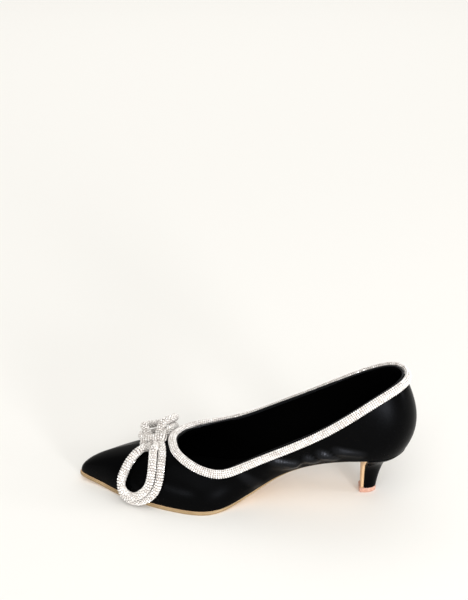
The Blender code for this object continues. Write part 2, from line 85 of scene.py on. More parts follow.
# Sections of the last from the toe tip by the outer side to the back and home by the inner side.
# foot along and out, top along, out and up in hundredths of LENGTH, BALL_WIDTH and COLLAR_HEIGHT;
# then the lean in degrees and the pull in mm, at the foot and at the top.
SECTIONS = (
    (99.6, -10.4, 69.6, -1.9, 38.3, 5, 13, 78, 42),
    (98.2, -4.4, 69.4, 3.0, 38.3, 6, 14, 77, 41),
    (93.6, 4.4, 69.1, 7.1, 38.1, 8, 15.6, 74.6, 38.3),
    (87.7, 17.8, 68.6, 12.6, 37.6, 8, 16.2, 71.7, 30.4),
    (77.7, 35.8, 67.1, 20.2, 36.4, 8, 15.8, 65.8, 19.4),
    (69.4, 46.0, 64.4, 27.5, 34.5, 8, 14.5, 55, 13),
    (61.2, 50.6, 60.2, 33.9, 32.3, 8, 13, 40, 11),
    (55.5, 46.3, 55.5, 36.5, 32.5, 10, 11, 22, 10),
    (49.8, 36.8, 49.8, 37.2, 38.9, 20, 10, 8, 10),
    (42.4, 29.8, 42.4, 37.8, 48.6, 30, 10, 4, 9),
    (32.7, 28.4, 32.7, 37.4, 60.2, 32, 10, 4, 10),
    (22.4, 31.2, 22.4, 35.7, 74.7, 26, 13, 8, 12),
    (12.6, 32.4, 12.6, 28.8, 89.9, 22, 16, 15, 17),
    (5.2, 23.6, 5.8, 16.6, 97.9, 26, 20, 25, 22),
    (1.5, 0.0, 3.6, 0.0, 99.8, 30, 22, 26, 25),
    (5.2, -23.6, 5.9, -16.8, 98.6, 26, 20, 25, 22),
    (12.6, -32.4, 12.6, -28.4, 90.3, 22, 16, 15, 17),
    (22.4, -29.3, 22.4, -35.0, 77.0, 26, 13, 8, 12),
    (32.7, -24.7, 32.7, -37.3, 64.3, 34, 12, 4, 11),
    (42.4, -25.3, 42.4, -37.7, 53.4, 34, 12, 5, 11),
    (49.8, -32.0, 49.8, -37.3, 45.8, 26, 12, 10, 12),
    (56.3, -40.7, 55.8, -36.0, 41.9, 12, 14, 24, 13),
    (65.3, -47.3, 61.0, -32.4, 39.8, 8, 16, 42, 14),
    (73.5, -45.3, 65.1, -26.9, 38.8, 8, 16.6, 56.1, 14.6),
    (81.6, -38.7, 67.4, -20.5, 38.3, 8, 15.6, 66.6, 20.8),
    (89.8, -29.3, 68.7, -13.4, 38.4, 8, 14.8, 72.8, 30.9),
    (95.5, -21.3, 69.3, -9.0, 38.4, 7, 14.6, 75.6, 38.3),
    (98.5, -15.8, 69.5, -5.5, 38.3, 6, 14, 77, 41),
)

# Soft pulls in the satin where it is strained over the waist. side: 1 outer, -1 inner.
# Each runs from along and up to along and up (hundredths of LENGTH, mm above the floor);
# then its half width and its depth at either end in mm, where a negative depth is a ridge.
# Its flanks are straight, the lower one EASY_SIDE times as long, and where ridges meet the higher one wins.
# A ridge of FULL_PULL draws the satin fully tight, a lower one less; the tightness also raises the satin's
# reflection, mostly on the ridge's upper flank, as a painted highlight. CREST_ROUND and FLANK_ROUND take
# the sharpness off its crest and off the foot of its flanks.
EASY_SIDE = 2.0
FULL_PULL = -3.0
CREST_ROUND = 0.015
FLANK_ROUND = 0.006
CREASES = (
    (1, 41.8, 40.2, 33.4, 35.2, 4.0, -2.3, -3.2),
    (1, 31.8, 42.2, 27.6, 38.6, 3.4, -3.0, -3.0),
    (1, 28.0, 46.2, 22.2, 41.2, 4.2, -3.1, -3.2),
    (1, 23.2, 48.8, 15.0, 44.4, 4.0, -2.4, -2.2),
    (1, 52.0, 31.0, 45.0, 17.0, 5.2, -0.9, -1.4),
    (1, 32.9, 33.0, 29.6, 45.0, 2.2, 0.40, 0.40),
    (1, 46.8, 34.0, 42.5, 25.0, 2.6, 0.45, 0.45),
    (-1, 33.5, 33.0, 27.5, 46.0, 2.6, 0.50, 0.50),
    (-1, 29.0, 44.0, 21.0, 39.5, 3.6, -2.2, -2.2),
    (-1, 42.0, 41.0, 36.0, 37.5, 3.6, -2.0, -2.0),
    (-1, 51.0, 31.0, 45.0, 20.0, 5.0, -1.6, -1.6),
)


def monotone(xs, ys, x):
    """Smooth curve through the points that never swings past them, so level stretches stay level."""
    steps = np.diff(xs)
    slopes = np.diff(ys) / steps
    same_way = slopes[:-1] * slopes[1:] > 0
    weight_a = 2 * steps[1:] + steps[:-1]
    weight_b = steps[1:] + 2 * steps[:-1]
    mean = (weight_a + weight_b) / (weight_a / np.where(same_way, slopes[:-1], 1)
                                    + weight_b / np.where(same_way, slopes[1:], 1))
    tangents = np.concatenate([slopes[:1], np.where(same_way, mean, 0.0), slopes[-1:]])
    x = np.clip(x, xs[0], xs[-1])
    k = np.clip(np.searchsorted(xs, x, side="right") - 1, 0, len(xs) - 2)
    t = (x - xs[k]) / steps[k]
    rise = ys[k] * (1 + 2 * t) * (1 - t) ** 2 + ys[k + 1] * t * t * (3 - 2 * t)
    return rise + steps[k] * (tangents[k] * t * (1 - t) ** 2 + tangents[k + 1] * t * t * (t - 1))


def along_to_x(along):
    return np.asarray(along, float) * LENGTH / 100 - LENGTH / 2


def feather_height(x):
    """Height of the line where the wall meets the sole."""
    along, lift = np.array(SHANK).T
    return OUTSOLE_THICKNESS + monotone(along_to_x(along), lift, np.asarray(x, float)) * HEEL_HEIGHT / 100


def ring_spline(knots, values, at, period):
    """Closed cubic curve with steady bending through values at the knots."""
    count = len(knots)
    step = np.diff(np.append(knots, knots[0] + period))
    before = np.roll(step, 1)
    system = np.zeros((count, count))
    for i in range(count):
        system[i, i] = 2 * (before[i] + step[i])
        system[i, (i + 1) % count] += step[i]
        system[i, i - 1] += before[i]
    slope = (np.roll(values, -1, 0) - values) / step[:, None]
    bend = np.linalg.solve(system, 6 * (slope - np.roll(slope, 1, 0)))
    k = np.searchsorted(knots, at, side="right") - 1
    t = (at - knots[k])[:, None]
    h = step[k][:, None]
    after = (k + 1) % count
    first = slope[k] - h * (2 * bend[k] + bend[after]) / 6
    return values[k] + t * first + t * t * bend[k] / 2 + t ** 3 * (bend[after] - bend[k]) / (6 * h)


def outward(points):
    """Level normals of a closed plan curve that runs with its inside on the left."""
    ahead = np.roll(points, -1, 0) - np.roll(points, 1, 0)
    turned = np.stack([ahead[:, 1], -ahead[:, 0]], 1)
    return turned / np.linalg.norm(turned, axis=1)[:, None]


def unit(vectors):
    return vectors / np.linalg.norm(vectors, axis=-1)[..., None]


def wall_points(per_row, shares):
    """Outer face of the upper: per_row places from section to section, by shares of the way up the wall."""
    scale = np.array([LENGTH, BALL_WIDTH, LENGTH, BALL_WIDTH, COLLAR_HEIGHT, 100, 100, 100, 100]) / 100
    table = np.array(SECTIONS, float) * scale
    table[:, [0, 2]] -= LENGTH / 2
    middle = (table[:, 0:2] + table[:, 2:4]) / 2
    ends = np.concatenate([[0.0], np.cumsum(np.linalg.norm(np.roll(middle, -1, 0) - middle, axis=1))])
    spans = zip(ends[:-1], ends[1:])
    rounds = np.concatenate([np.linspace(start, end, per_row, endpoint=False) for start, end in spans])
    rows = ring_spline(ends[:-1], table, rounds, ends[-1])
    foot_plan, top_plan = rows[:, 0:2], rows[:, 2:4]
    foot = np.column_stack([foot_plan, feather_height(foot_plan[:, 0]) + GAP])
    top = np.column_stack([top_plan, rows[:, 4]])
    foot_lean, foot_pull, top_lean, top_pull = np.hsplit(rows[:, 5:9], 4)
    foot_lean, top_lean = np.radians(foot_lean), np.radians(top_lean)
    low = foot + foot_pull * np.hstack([outward(foot_plan) * np.sin(foot_lean), np.cos(foot_lean)])
    high = top - top_pull * np.hstack([-outward(top_plan) * np.sin(top_lean), np.cos(top_lean)])
    foot, low, high, top = (p[:, None, :] for p in (foot, low, high, top))
    t = np.asarray(shares, float)[None, :, None]
    return foot * (1 - t) ** 3 + 3 * low * t * (1 - t) ** 2 + 3 * high * t * t * (1 - t) + top * t ** 3


def face_normals(grid):
    """Outward normals of a grid of points that closes round the shoe."""
    return unit(np.cross(np.roll(grid, -1, 0) - np.roll(grid, 1, 0), np.gradient(grid, axis=1)))


def crease_depth(points):
    """How far each point of the wall lies below the smooth face, and how tight the satin is drawn there.

    A ridge has a negative depth. Tightness runs from 0 to 1; it lies mostly on each ridge's upper flank,
    and the satin's reflection is raised there as a painted highlight.
    """
    sunk = np.zeros(points.shape[:-1])
    raised = np.zeros(points.shape[:-1])
    tightness_and_sheen = np.zeros(points.shape[:-1])
    for side, along_a, up_a, along_b, up_b, half_width, deep_a, deep_b in CREASES:
        start = np.array([along_to_x(along_a), up_a])
        way = np.array([along_to_x(along_b), up_b]) - start
        seen = points[..., [0, 2]] - start
        share = seen @ way / (way @ way)
        off = np.linalg.norm(seen - np.clip(share, 0, 1)[..., None] * way, axis=-1) / half_width
        below = (seen[..., 1] * way[0] - seen[..., 0] * way[1]) * np.sign(way[0]) < 0
        fall = 1 - np.sqrt(np.where(below, off / EASY_SIDE, off) ** 2 + CREST_ROUND)
        # It fades from 0.15 of its length inside each end to 0.25 past it.
        ends = np.clip((0.75 - np.abs(share - 0.5)) / 0.4, 0, 1)
        ends = ends * ends * (3 - 2 * ends) * (points[..., 1] * side > 0)
        deep = deep_a + (deep_b - deep_a) * np.clip(share, 0, 1)
        height = deep * (fall + np.sqrt(fall ** 2 + FLANK_ROUND)) / 2 * ends
        sunk += np.maximum(height, 0)
        # Below the ridge the tightness dies off fast; above it, it spreads over the upper flank, where it
        # paints a highlight.
        drawn = np.where(below, np.exp(-(3 * off) ** 2), np.clip((1.25 - off) / 0.5, 0, 1)) * ends
        tightness_and_sheen = np.where(height < raised, drawn * np.clip(deep / FULL_PULL, 0, 1), tightness_and_sheen)
        raised = np.minimum(raised, height)
    return sunk + raised, tightness_and_sheen


def hex_colour(code):
    """Linear colour from an sRGB hex value."""
    parts = [int(code[i:i + 2], 16) / 255 for i in (1, 3, 5)]
    return [p / 12.92 if p <= 0.04045 else ((p + 0.055) / 1.055) ** 2.4 for p in parts] + [1.0]


def add_node(tree, kind, sockets=None, **settings):
    """Adds one shader node with its settings, its socket values and its links from other nodes."""
    node = tree.nodes.new(kind)
    for name, value in settings.items():
        setattr(node, name, value)
    for name, value in (sockets or {}).items():
        if isinstance(value, bpy.types.NodeSocket):
            tree.links.new(value, node.inputs[name])
        else:
            node.inputs[name].default_value = value
    return node


def new_material(name, **sockets):
    """A named material whose shader takes the given socket values, with underscores for spaces."""
    material = bpy.data.materials.new(name)
    material.use_nodes = True
    shader = material.node_tree.nodes["Principled BSDF"]
    for socket, value in sockets.items():
        shader.inputs[socket.replace("_", " ")].default_value = value
    return material, material.node_tree, shader


def skin(name, grid, material, wrap=(True, False), caps=False, flow=False):
    """Mesh over a grid of points.

    wrap joins its ends either way, caps closes a loft and flow lays the thread lengths down as UV.
    """
    rounds, across = grid.shape[:2]
    index = np.arange(rounds * across).reshape(rounds, across)
    if wrap[0]:
        index = np.vstack([index, index[:1]])
    if wrap[1]:
        index = np.hstack([index, index[:, :1]])
    corners = [index[:-1, :-1], index[1:, :-1], index[1:, 1:], index[:-1, 1:]]
    faces = np.stack(corners, -1).reshape(-1, 4).tolist()
    if caps:
        faces += [index[0, :across][::-1].tolist(), index[-1, :across].tolist()]
    mesh = bpy.data.meshes.new(name)
    mesh.from_pydata(((grid.reshape(-1, 3) + TO_MIDDLE) * MM).tolist(), [], faces)
    if flow:
        whole = grid.reshape(-1, 3)[index]
        round_run = np.linalg.norm(np.diff(whole, axis=0), axis=2).mean(1)
        up_run = np.linalg.norm(np.diff(whole, axis=1), axis=2)
        u = np.concatenate([[0.0], np.cumsum(round_run)])[:, None].repeat(whole.shape[1], 1)
        v = np.hstack([np.zeros((len(whole), 1)), np.cumsum(up_run, axis=1)])
        uv = np.stack([u, v], -1) * MM
        laid = np.stack([uv[:-1, :-1], uv[1:, :-1], uv[1:, 1:], uv[:-1, 1:]], 2).reshape(-1)
        capped = np.zeros(4 * across if caps else 0)
        mesh.uv_layers.new(name="threads").data.foreach_set("uv", np.concatenate([laid, capped]))
    if caps or all(wrap):
        shape = bmesh.new()
        shape.from_mesh(mesh)
        bmesh.ops.recalc_face_normals(shape, faces=shape.faces)
        shape.to_mesh(mesh)
        shape.free()
    mesh.shade_smooth()
    mesh.materials.append(material)
    piece = bpy.data.objects.new(name, mesh)
    bpy.context.collection.objects.link(piece)
    return piece


def thicken(piece, thickness):
    """Gives a sheet its thickness on the side away from its normals."""
    solid = piece.modifiers.new("Thickness", "SOLIDIFY")
    solid.thickness = thickness * MM
    solid.offset = -1.0


# Polyester satin: long warp floats over a fine weft give near black. Its reflections are tinted cool, a
# painted bluish sheen, and raised along the pulls as painted highlights.
# The floats are about 0.1 mm wide; they are drawn 0.6 mm wide, the least that shows here.
FLOAT_WIDTH = 0.6
FLOAT_LENGTH = 9.0
CLOUD_SIZE = 22.0
satin, tree, shader = new_material(
    "black_polyester_satin", Base_Color=hex_colour("#040404"), IOR=1.54,
    Specular_Tint=hex_colour("#DCE2F2"),
)
threads = add_node(tree, "ShaderNodeUVMap", uv_map="threads")
drawn = add_node(tree, "ShaderNodeMapping", {"Vector": threads.outputs["UV"],
                 "Scale": (1 / (FLOAT_WIDTH * MM), 1 / (FLOAT_LENGTH * MM), 1.0)})
floats = add_node(tree, "ShaderNodeTexNoise", {"Vector": drawn.outputs["Vector"], "Scale": 1.0,
                  "Detail": 3.0})
place = add_node(tree, "ShaderNodeTexCoord")
clouds = add_node(tree, "ShaderNodeTexNoise", {"Vector": place.outputs["Object"],
                  "Scale": 1 / (CLOUD_SIZE * MM), "Detail": 2.0})
gloss = add_node(tree, "ShaderNodeMapRange", {"Value": clouds.outputs["Fac"], "From Min": 0.3,
                 "From Max": 0.7, "To Min": 0.24, "To Max": 0.33})
relief = add_node(tree, "ShaderNodeBump", {"Height": floats.outputs["Fac"], "Strength": 0.25,
                  "Distance": 0.06 * MM})
# Where it is drawn tight the floats lie flatter and mirror more; the mask lies on the ridges' upper flanks
# and on the folded edge, so this paints highlights there.
sheen_attribute = add_node(tree, "ShaderNodeAttribute", attribute_name="strain_and_sheen")
shine = add_node(tree, "ShaderNodeMapRange", {"Value": sheen_attribute.outputs["Fac"], "To Min": 0.026,
                 "To Max": 0.22})
tree.links.new(shine.outputs["Result"], shader.inputs["Specular IOR Level"])
tree.links.new(gloss.outputs["Result"], shader.inputs["Roughness"])
tree.links.new(relief.outputs["Normal"], shader.inputs["Normal"])

WALL_STEPS = 46
shares = np.linspace(0.0, 1.0, WALL_STEPS + 1)
wall = wall_points(12, shares)
wall_out = face_normals(wall)
held = np.clip(np.minimum(shares / 0.25, (1 - shares) / 0.2), 0, 1)
depth, tightness_and_sheen = crease_depth(wall)
wall -= wall_out * (depth * held)[..., None]
wall_up = unit(wall[:, -1] - wall[:, -2])
rim_out = wall_out[:, -1]
fold_centre = wall[:, -1] - (rim_out + wall_up) * FOLD_RADIUS
fold = [fold_centre + (rim_out * math.cos(a) + wall_up * math.sin(a)) * FOLD_RADIUS
        for a in np.linspace(0.0, math.pi, 7)]
leg = [wall[:, -k] - wall_out[:, -k] * 2 * FOLD_RADIUS for k in (2, 3, 4)]
foot_out, foot_up = wall_out[:, 0], unit(wall[:, 1] - wall[:, 0])
tuck = [wall[:, 0] - foot_out * inward - foot_up * down for inward, down in TUCK]
sheet = np.stack(tuck + [wall[:, k] for k in range(WALL_STEPS)] + fold + leg, 1)
upper = skin("satin_upper", sheet, satin, flow=True)
# This mask paints highlights: it raises the satin's reflection on the ridges' upper flanks and along the
# folded edge.
strain_and_sheen = np.zeros(sheet.shape[:2])
strain_and_sheen[:, len(tuck):len(tuck) + WALL_STEPS] = (tightness_and_sheen * held)[:, :WALL_STEPS]
strain_and_sheen[:, len(tuck) + WALL_STEPS:] = FOLD_SHEEN
upper.data.attributes.new("strain_and_sheen", "FLOAT", "POINT").data.foreach_set("value", strain_and_sheen.ravel())
thicken(upper, SATIN_THICKNESS)
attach(upper, "root")
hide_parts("upper")


# Lining
# A thin black textile lining stuck inside the wall, from the folded satin edge down to the sock.
# Its two halves meet in a narrow taped seam at the back.
LINING_DEPTH = 1.0
LINING_THICKNESS = 0.55
TAPE_HALF_WIDTH = 2.6
TAPE_RISE = 0.45
lining_cloth, tree, shader = new_material(
    "black_tricot_lining", Base_Color=hex_colour("#010101"), Roughness=0.9, Specular_IOR_Level=0.02,
)
# A brushed warp knit: dead matt black. Its ribs are about 0.4 mm apart and are drawn at 0.9 mm to show.
RIB_PITCH = 0.9
threads = add_node(tree, "ShaderNodeUVMap", uv_map="threads")
ribs = add_node(tree, "ShaderNodeTexWave", {"Vector": threads.outputs["UV"], "Distortion": 0.6,
                "Scale": 2 * math.pi / (20 * RIB_PITCH * MM)}, bands_direction="X")
relief = add_node(tree, "ShaderNodeBump", {"Height": ribs.outputs["Fac"], "Strength": 0.2,
                  "Distance": 0.08 * MM})
tree.links.new(relief.outputs["Normal"], shader.inputs["Normal"])
inside = wall_points(10, np.linspace(0.02, 1.0, 31))
inside_out = face_normals(inside)
taped = np.clip((TAPE_HALF_WIDTH - np.abs(inside[..., 1])) / 0.6, 0, 1) * (inside[..., 0] < along_to_x(12))
inside -= inside_out * (LINING_DEPTH + TAPE_RISE * taped)[..., None]
lining = skin("black_lining", inside[:, :-2], lining_cloth, flow=True)
thicken(lining, LINING_THICKNESS)
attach(lining, "root")


# Sock
# A black leather sock over its board, lying on the sole and the seat inside the wall.
# Its edge is skived thin and turned down, and its middle dips a little under the foot.
INSOLE_THICKNESS = 2.0
SOCK_THICKNESS = 1.4
WALL_THICKNESS = 1.6
SOCK_DISH = 0.48
SKIVED_EDGE = 0.5
LINING_CLEARANCE = 0.1
sock_leather, tree, shader = new_material(
    "black_sock_leather", Base_Color=hex_colour("#020202"), Roughness=0.6, Specular_IOR_Level=0.05,
)
# Finished pigskin: matt black with a faint pebbled grain, about 0.5 mm, drawn at 0.9 mm to show.
GRAIN_SIZE = 0.9
place = add_node(tree, "ShaderNodeTexCoord")
pebbles = add_node(tree, "ShaderNodeTexVoronoi", {"Vector": place.outputs["Object"],
                   "Scale": 1 / (GRAIN_SIZE * MM)})
relief = add_node(tree, "ShaderNodeBump", {"Height": pebbles.outputs["Distance"], "Strength": 0.25,
                  "Distance": 0.06 * MM})
tree.links.new(relief.outputs["Normal"], shader.inputs["Normal"])


def feather_loop(margin):
    """Plan of the line where the wall meets the sole, moved outwards by margin, toe tip first."""
    foot = wall_points(24, (0.0, 1.0))[:, 0, :2]
    return foot + outward(foot) * (np.asarray(margin)[:, None] if np.ndim(margin) else margin)


def sides_at(loop, x):
    """The outer and inner side of a plan loop at each x."""
    toe, back = np.argmax(loop[:, 0]), np.argmin(loop[:, 0])
    outer = np.roll(loop, -toe, 0)[: (back - toe) % len(loop) + 1][::-1]
    inner = np.roll(loop, -back, 0)[: (toe - back) % len(loop) + 1]
    return np.interp(x, outer[:, 0], outer[:, 1]), np.interp(x, inner[:, 0], inner[:, 1])


def stations(start, end, step):
    """Places along the sole from start to end, crowding where an outline turns at its ends."""
    near = np.array([0.02, 0.12, 0.35, 0.8, 1.5, 2.4, 3.6])
    return np.concatenate([start + near, np.arange(start + 5.0, end - 4.4, step), end - near[::-1]])


def sock_height(x):
    """Top of the sock, square to the sloping sole."""
    slope = feather_height(x + 0.5) - feather_height(x - 0.5)
    return feather_height(x) + (GAP + INSOLE_THICKNESS) * np.sqrt(1 + slope ** 2)


# The plan line where the lining's lower part comes down to the top of the sock.
lined = (inside - inside_out * LINING_THICKNESS)[:, :14]
over = lined[..., 2] - sock_height(lined[..., 0])
met = np.array([[np.interp(0.0, rise, row[:, k]) for k in (0, 1)] for rise, row in zip(over, lined)])
loop = feather_loop(-(WALL_THICKNESS + 1.0))
x = stations(loop[:, 0].min(), loop[:, 0].max(), 2.5)
outer_y, inner_y = sides_at(loop, x)
outer_lined, inner_lined = sides_at(met, x)
# Between the toe box and the back it reaches out to the lining, so that no light comes up past it.
reach = np.clip((along_to_x(80) - x) / 20, 0, 1) * np.clip((x - along_to_x(5)) / 8, 0, 1)
outer_y = outer_y + (np.maximum(outer_lined - LINING_CLEARANCE, outer_y) - outer_y) * reach
inner_y = inner_y + (np.minimum(inner_lined + LINING_CLEARANCE, inner_y) - inner_y) * reach
sock_top = sock_height(x)
cross = np.array([-1.0, -0.97, -0.9, -0.75, -0.5, -0.25, 0.0, 0.25, 0.5, 0.75, 0.9, 0.97, 1.0])
y = (outer_y + inner_y)[:, None] / 2 + (outer_y - inner_y)[:, None] / 2 * cross
room = np.clip((outer_y - inner_y) / 30, 0, 1)[:, None]
z = sock_top[:, None] - SOCK_DISH * room * (1 - cross ** 2) - SKIVED_EDGE * (np.abs(cross) > 0.99)
sheet = np.stack([np.repeat(x[:, None], len(cross), 1), y, z], -1)[::-1]
sock = skin("leather_sock", sheet[:, ::-1], sock_leather, wrap=(False, False))
thicken(sock, SOCK_THICKNESS)
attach(sock, "root")
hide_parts("insole")


# Outsole
# One piece of tan sole leather from the toe to the heel, its flap turned down the breast to the tip.
# It is stuck on and trimmed square, and its edge is then sanded a little round and burnished.
SOLE_EDGE = 0.9
WAIST_SET_IN = 2.2
BREAST_ALONG = 13.6
TIP_THICKNESS = 3.8
EDGE_ROUND = 0.5
WAIST_THICKNESS = 1.5
FLAP_THICKNESS = 2.2
FLAP_BEND = 2.0
FLAP_STEPS = 16
# Heel below the seat, in hundredths: the way down from the seat to the tip, then its depth and width
# as shares of the seat's.
HEEL = (
    (0.0, 100.0, 100.0),
    (8.0, 91.0, 90.0),
    (17.0, 76.0, 72.0),
    (27.0, 61.0, 55.0),
    (38.0, 50.0, 42.0),
    (54.0, 42.0, 32.0),
    (76.0, 35.0, 26.0),
    (100.0, 30.0, 22.0),
)
# Vegetable tanned leather: an even tan with darker drift and close pores, some 0.3 mm apart and drawn at
# 0.7 mm to show. Burnishing leaves the edge darker; the underside and the flap keep the hide's paler tan.
HIDE_DRIFT = 16.0
HIDE_GRAIN = 0.7
HIDES = {
    "burnished_edge_leather": ("#876F4C", "#A38B68"),
    "tan_sole_leather": ("#C49F78", "#DFBE95"),
}
leathers = []
for name, (dark, light) in HIDES.items():
    leather, tree, shader = new_material(name, Specular_IOR_Level=0.4)
    place = add_node(tree, "ShaderNodeTexCoord")
    drift = add_node(tree, "ShaderNodeTexNoise", {"Vector": place.outputs["Object"],
                     "Scale": 1 / (HIDE_DRIFT * MM), "Detail": 5.0, "Roughness": 0.6})
    tone = add_node(tree, "ShaderNodeValToRGB", {"Fac": drift.outputs["Fac"]})
    tone.color_ramp.elements[0].position = 0.3
    tone.color_ramp.elements[0].color = hex_colour(dark)
    tone.color_ramp.elements[1].position = 0.75
    tone.color_ramp.elements[1].color = hex_colour(light)
    grain = add_node(tree, "ShaderNodeTexNoise", {"Vector": place.outputs["Object"],
                     "Scale": 1 / (HIDE_GRAIN * MM), "Detail": 3.0})
    gloss = add_node(tree, "ShaderNodeMapRange", {"Value": grain.outputs["Fac"], "To Min": 0.38,
                     "To Max": 0.6})
    relief = add_node(tree, "ShaderNodeBump", {"Height": grain.outputs["Fac"], "Strength": 0.2,
                      "Distance": 0.05 * MM})
    tree.links.new(tone.outputs["Color"], shader.inputs["Base Color"])
    tree.links.new(gloss.outputs["Result"], shader.inputs["Roughness"])
    tree.links.new(relief.outputs["Normal"], shader.inputs["Normal"])
    leathers.append(leather)


def heel_share(drop, place_in_row):
    """The heel's depth (0) or width (1) as a share of the seat's, drop hundredths of the way to the tip."""
    drops, *shares_below = np.array(HEEL).T
    return monotone(drops, shares_below[place_in_row], np.asarray(drop, float)) / 100


foot_x = feather_loop(0.0)[:, 0]
share = np.clip((foot_x - along_to_x(46.0)) / (along_to_x(61.0) - along_to_x(46.0)), 0.0, 1.0)
share = share * share * (3 - 2 * share)
loop = feather_loop(SOLE_EDGE * share - WAIST_SET_IN * (1 - share))
breast = float(along_to_x(BREAST_ALONG))
x = stations(breast + FLAP_BEND, loop[:, 0].max(), 2.5)[::-1]
outer_y, inner_y = sides_at(loop, x)
bend = np.linspace(0.0, math.pi / 2, 6)[1:]
seat_z = float(feather_height(breast + FLAP_BEND))
bend_drop = FLAP_BEND * 0.6
flap_top = seat_z - bend_drop
flap_drop = np.linspace(0.08, 1.0, FLAP_STEPS)
path = np.vstack([
    np.column_stack([x, feather_height(x)]),
    np.column_stack([breast + FLAP_BEND * (1 - np.sin(bend)), seat_z - bend_drop * (1 - np.cos(bend))]),
    np.column_stack([np.full(FLAP_STEPS, breast), flap_top + flap_drop * (TIP_THICKNESS + GAP - flap_top)]),
])
flap_width = np.concatenate([np.ones(len(x) + len(bend)), heel_share(flap_drop * 100, 1)])
outer_y = np.concatenate([outer_y, np.full(len(bend) + FLAP_STEPS, outer_y[-1])]) * flap_width
inner_y = np.concatenate([inner_y, np.full(len(bend) + FLAP_STEPS, inner_y[-1])]) * flap_width
ahead = unit(np.gradient(path, axis=0))
below = np.column_stack([-ahead[:, 1], ahead[:, 0]])
waist = np.clip((x - along_to_x(30.0)) / (along_to_x(52.0) - along_to_x(30.0)), 0.0, 1.0)
thickness = WAIST_THICKNESS + (OUTSOLE_THICKNESS - WAIST_THICKNESS) * waist * waist * (3 - 2 * waist)
bend_thickness = np.linspace(WAIST_THICKNESS, FLAP_THICKNESS, len(bend))
thickness = np.concatenate([thickness, bend_thickness, np.full(FLAP_STEPS, FLAP_THICKNESS)])
rings = []
for (px, pz), (bx, bz), out_y, in_y, thick in zip(path, below, outer_y, inner_y, thickness):
    half, mid = (out_y - in_y) / 2, (out_y + in_y) / 2
    edge = min(EDGE_ROUND, half * 0.4)
    outline = [(-half + edge, 0.0), (half - edge, 0.0), (half, edge), (half, thick - edge),
               (half - edge, thick), (-half + edge, thick), (-half, thick - edge), (-half, edge)]
    rings.append([(px + bx * deep, mid + side, pz + bz * deep) for side, deep in outline])
sole = skin("leather_sole", np.array(rings), leathers[0], wrap=(False, True), caps=True)
sole.data.materials.append(leathers[1])
# The corners 2, 3, 6 and 7 of each outline stand on the trimmed edge.
edge_corners = {2, 3, 6, 7}
for face in sole.data.polygons:
    on_sole = min(face.vertices) < len(x) * len(outline)
    on_edge = edge_corners.intersection(corner % len(outline) for corner in face.vertices)
    face.material_index = 0 if on_sole and on_edge else 1
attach(sole, "root")
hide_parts("outsole")


# Heel
# A moulded kitten heel covered in the same satin, wrapped from the breast round the back and glued.
# It is as wide as the seat at the top and hollows in to a slim stem.
def seat_outline(count):
    """The seat's edge behind the breast, from the inner breast corner round the back to the outer one."""
    loop = feather_loop(0.0)
    front = breast - GAP
    behind = np.roll(loop, -np.argmax(loop[:, 0]), 0)
    behind = behind[behind[:, 0] < front][::-1]
    outer, inner = sides_at(loop, front)
    path = np.vstack([[front, inner], behind, [front, outer]])
    run = np.concatenate([[0.0], np.cumsum(np.linalg.norm(np.diff(path, axis=0), axis=1))])
    at = np.linspace(0.0, run[-1], count)
    return np.stack([np.interp(at, run, path[:, c]) for c in range(2)], 1)


def closed_outline(open_edge, across_count, softened):
    """Closes the outline straight across the breast and takes off its corners."""
    across = np.linspace(open_edge[-1], open_edge[0], across_count + 2)[1:-1]
    ring = np.vstack([open_edge, across])
    for _ in range(softened):
        ring = (np.roll(ring, 1, 0) + 2 * ring + np.roll(ring, -1, 0)) / 4
    return ring


def heel_ring(drop, outline):
    """One section of the heel, drop hundredths of the way from the seat to the tip."""
    bottom = TIP_THICKNESS + GAP
    x = breast - GAP + (outline[:, 0] - breast + GAP) * heel_share(drop, 0)
    y = outline[:, 1] * heel_share(drop, 1)
    seat = feather_height(outline[:, 0]) - GAP
    return np.column_stack([x, y, seat + (bottom - seat) * drop / 100])


outline = closed_outline(seat_outline(73), 31, 3)
rings = np.array([heel_ring(drop, outline) for drop in np.linspace(0.0, 100.0, 41)])
heel = skin("covered_heel", rings, satin, wrap=(False, True), caps=True, flow=True)
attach(heel, "root")
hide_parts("heel")


# Tip
# A moulded polyurethane lift pinned under the stem and the end of the flap, a little larger than both.
# Its edge is trimmed with a small bevel and its colour is a pinkish tan.
TIP_EDGE = 0.5
# Moulded polyurethane: a warm half gloss that light sinks into a little, with faint scuffs 2.5 mm across.
tip_plastic, tree, shader = new_material(
    "moulded_polyurethane", Roughness=0.34, IOR=1.5, Subsurface_Weight=0.1,
    Subsurface_Radius=(0.8 * MM, 0.4 * MM, 0.2 * MM),
)
SCUFF_SIZE = 2.5
place = add_node(tree, "ShaderNodeTexCoord")
scuffs = add_node(tree, "ShaderNodeTexNoise", {"Vector": place.outputs["Object"],
                  "Scale": 1 / (SCUFF_SIZE * MM), "Detail": 4.0})
tone = add_node(tree, "ShaderNodeValToRGB", {"Fac": scuffs.outputs["Fac"]})
tone.color_ramp.elements[0].position = 0.3
tone.color_ramp.elements[0].color = hex_colour("#B98A78")
tone.color_ramp.elements[1].position = 0.7
tone.color_ramp.elements[1].color = hex_colour("#C99F8C")
relief = add_node(tree, "ShaderNodeBump", {"Height": scuffs.outputs["Fac"], "Strength": 0.1,
                  "Distance": 0.04 * MM})
tree.links.new(tone.outputs["Color"], shader.inputs["Base Color"])
tree.links.new(relief.outputs["Normal"], shader.inputs["Normal"])
stem = heel_ring(100.0, seat_outline(49))[:, :2]
front = breast + OUTSOLE_THICKNESS + TIP_EDGE
edge = np.vstack([[front, stem[0, 1]], stem, [front, stem[-1, 1]]])
ring = closed_outline(edge, 15, 2)
middle = ring.mean(0)
